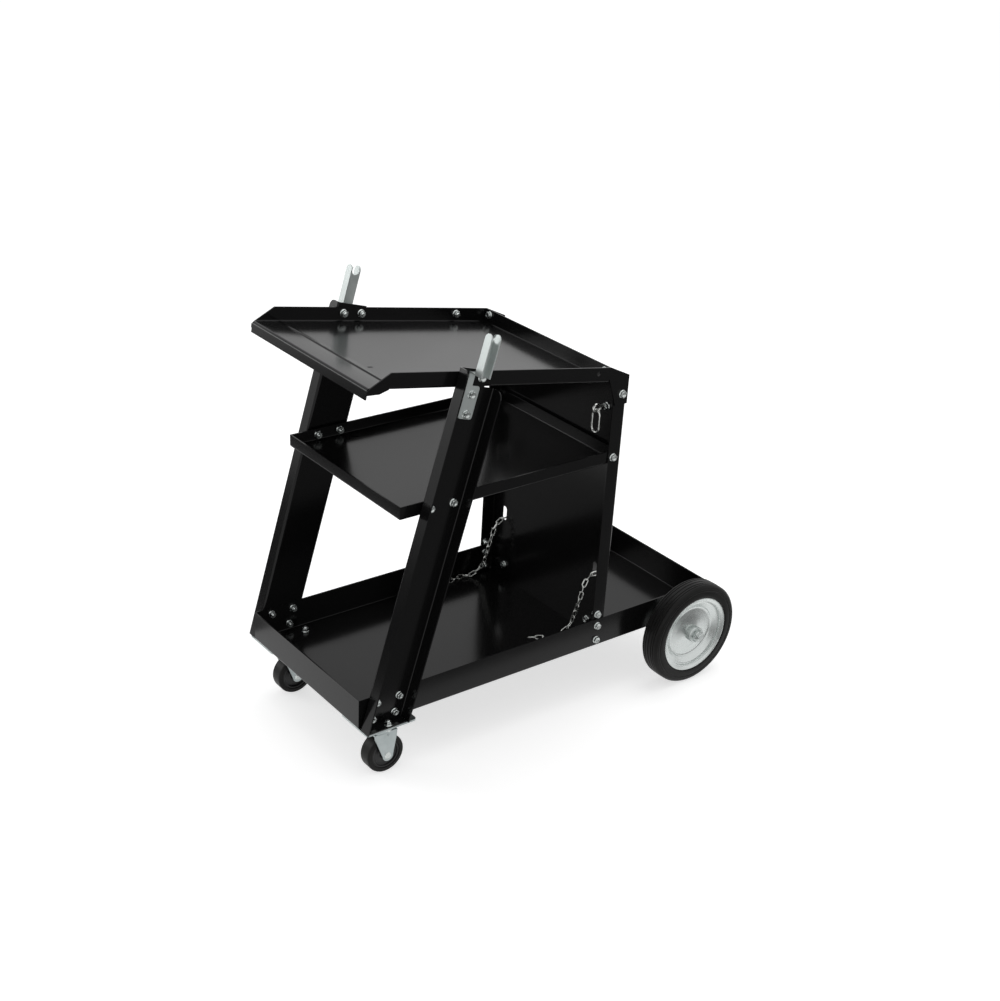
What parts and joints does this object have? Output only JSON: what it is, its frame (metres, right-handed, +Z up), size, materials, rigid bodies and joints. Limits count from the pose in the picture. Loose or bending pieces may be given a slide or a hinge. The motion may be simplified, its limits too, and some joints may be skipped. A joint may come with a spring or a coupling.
{
  "type": "welding cart",
  "caption": "Three-tier black sheet-steel welding cart with sloped top tray, bottle bay with chains, cable hooks, rear wheels and swivel casters.",
  "frame": {"origin": "on the ground, midway along and across the cart", "axes": "+Z up, -X towards the front casters, +X towards the rear wheels, +Y the cart's right-hand side"},
  "size_m": [0.719, 0.4246, 0.6779],
  "materials": {
    "powder_black": "satin powder coat",
    "zinc": "bright zinc plate",
    "wheel_zinc": "zinc-plated pressed steel",
    "chain_zinc": "zinc plate",
    "tyre_rubber": "moulded rubber",
    "hub_plastic": "moulded nylon"
  },
  "bodies": {
    "root": {"bottom_tray": "powder_black", "middle_shelf": "powder_black", "top_tray": "powder_black", "back_panel": "powder_black", "panel_clips": "powder_black", "leg_left": "powder_black", "leg_right": "powder_black", "cable_hook_left": "zinc", "cable_hook_right": "zinc", "rear_axle": "zinc", "axle_bracket_left": "powder_black", "axle_bracket_right": "powder_black", "axle_spacers": "zinc", "axle_washers": "zinc", "axle_nuts": "zinc", "caster_plate_left": "zinc", "caster_plate_right": "zinc", "caster_kingpin_left": "zinc", "caster_kingpin_right": "zinc", "caster_bolts": "zinc", "caster_nuts": "zinc", "leg_bolts": "zinc", "leg_nuts": "zinc", "shelf_bolts": "zinc", "shelf_nuts": "zinc", "shelf_spacers": "zinc", "top_bolts": "zinc", "top_nuts": "zinc", "hook_bolts": "zinc", "hook_nuts": "zinc", "panel_bolts": "zinc", "panel_nuts": "zinc", "eye_bolt_left": "chain_zinc", "eye_bolt_right": "chain_zinc", "eye_nuts": "zinc", "chain_left": "chain_zinc", "chain_right": "chain_zinc"},
    "rear_wheel_left": {"rear_tyre_left": "tyre_rubber", "rear_rim_left": "wheel_zinc", "rear_bush_left": "hub_plastic"},
    "rear_wheel_right": {"rear_tyre_right": "tyre_rubber", "rear_rim_right": "wheel_zinc", "rear_bush_right": "hub_plastic"},
    "caster_swivel_left": {"caster_fork_left": "zinc", "caster_rivet_left": "zinc"},
    "caster_swivel_right": {"caster_fork_right": "zinc", "caster_rivet_right": "zinc"},
    "caster_wheel_left": {"caster_tyre_left": "tyre_rubber", "caster_hub_left": "hub_plastic"},
    "caster_wheel_right": {"caster_tyre_right": "tyre_rubber", "caster_hub_right": "hub_plastic"},
    "snap_hook": {"snap_hook_body": "chain_zinc", "snap_hook_pin": "chain_zinc"},
    "snap_gate": {"snap_hook_gate": "chain_zinc"}
  },
  "joints": [
    {"name": "rear_wheel_left_spin", "type": "hinge", "parent": "root", "child": "rear_wheel_left", "pos_m": [0.2705, -0.181, 0.089], "axis": [0, 1, 0], "continuous": true},
    {"name": "caster_left_swivel", "type": "hinge", "parent": "root", "child": "caster_swivel_left", "pos_m": [-0.3145, -0.131, 0.08], "axis": [0, 0, 1], "continuous": true},
    {"name": "caster_wheel_left_spin", "type": "hinge", "parent": "caster_swivel_left", "child": "caster_wheel_left", "pos_m": [-0.3035, -0.131, 0.03175], "axis": [0, 1, 0], "continuous": true},
    {"name": "rear_wheel_right_spin", "type": "hinge", "parent": "root", "child": "rear_wheel_right", "pos_m": [0.2705, 0.181, 0.089], "axis": [0, 1, 0], "continuous": true},
    {"name": "caster_right_swivel", "type": "hinge", "parent": "root", "child": "caster_swivel_right", "pos_m": [-0.3145, 0.131, 0.08], "axis": [0, 0, 1], "continuous": true},
    {"name": "caster_wheel_right_spin", "type": "hinge", "parent": "caster_swivel_right", "child": "caster_wheel_right", "pos_m": [-0.3035, 0.131, 0.03175], "axis": [0, 1, 0], "continuous": true},
    {"name": "snap_hook_swing", "type": "hinge", "parent": "root", "child": "snap_hook", "pos_m": [0.0855, -0.112, 0.497], "axis": [0, 1, 0], "range_deg": [-15, 70]},
    {"name": "snap_gate_open", "type": "hinge", "parent": "snap_hook", "child": "snap_gate", "pos_m": [0.0855, -0.12, 0.4688], "axis": [-1, 0, 0], "range_deg": [0, 25], "stiffness_Nm_per_rad": 0.02, "springref_deg": -17.19}
  ]
}
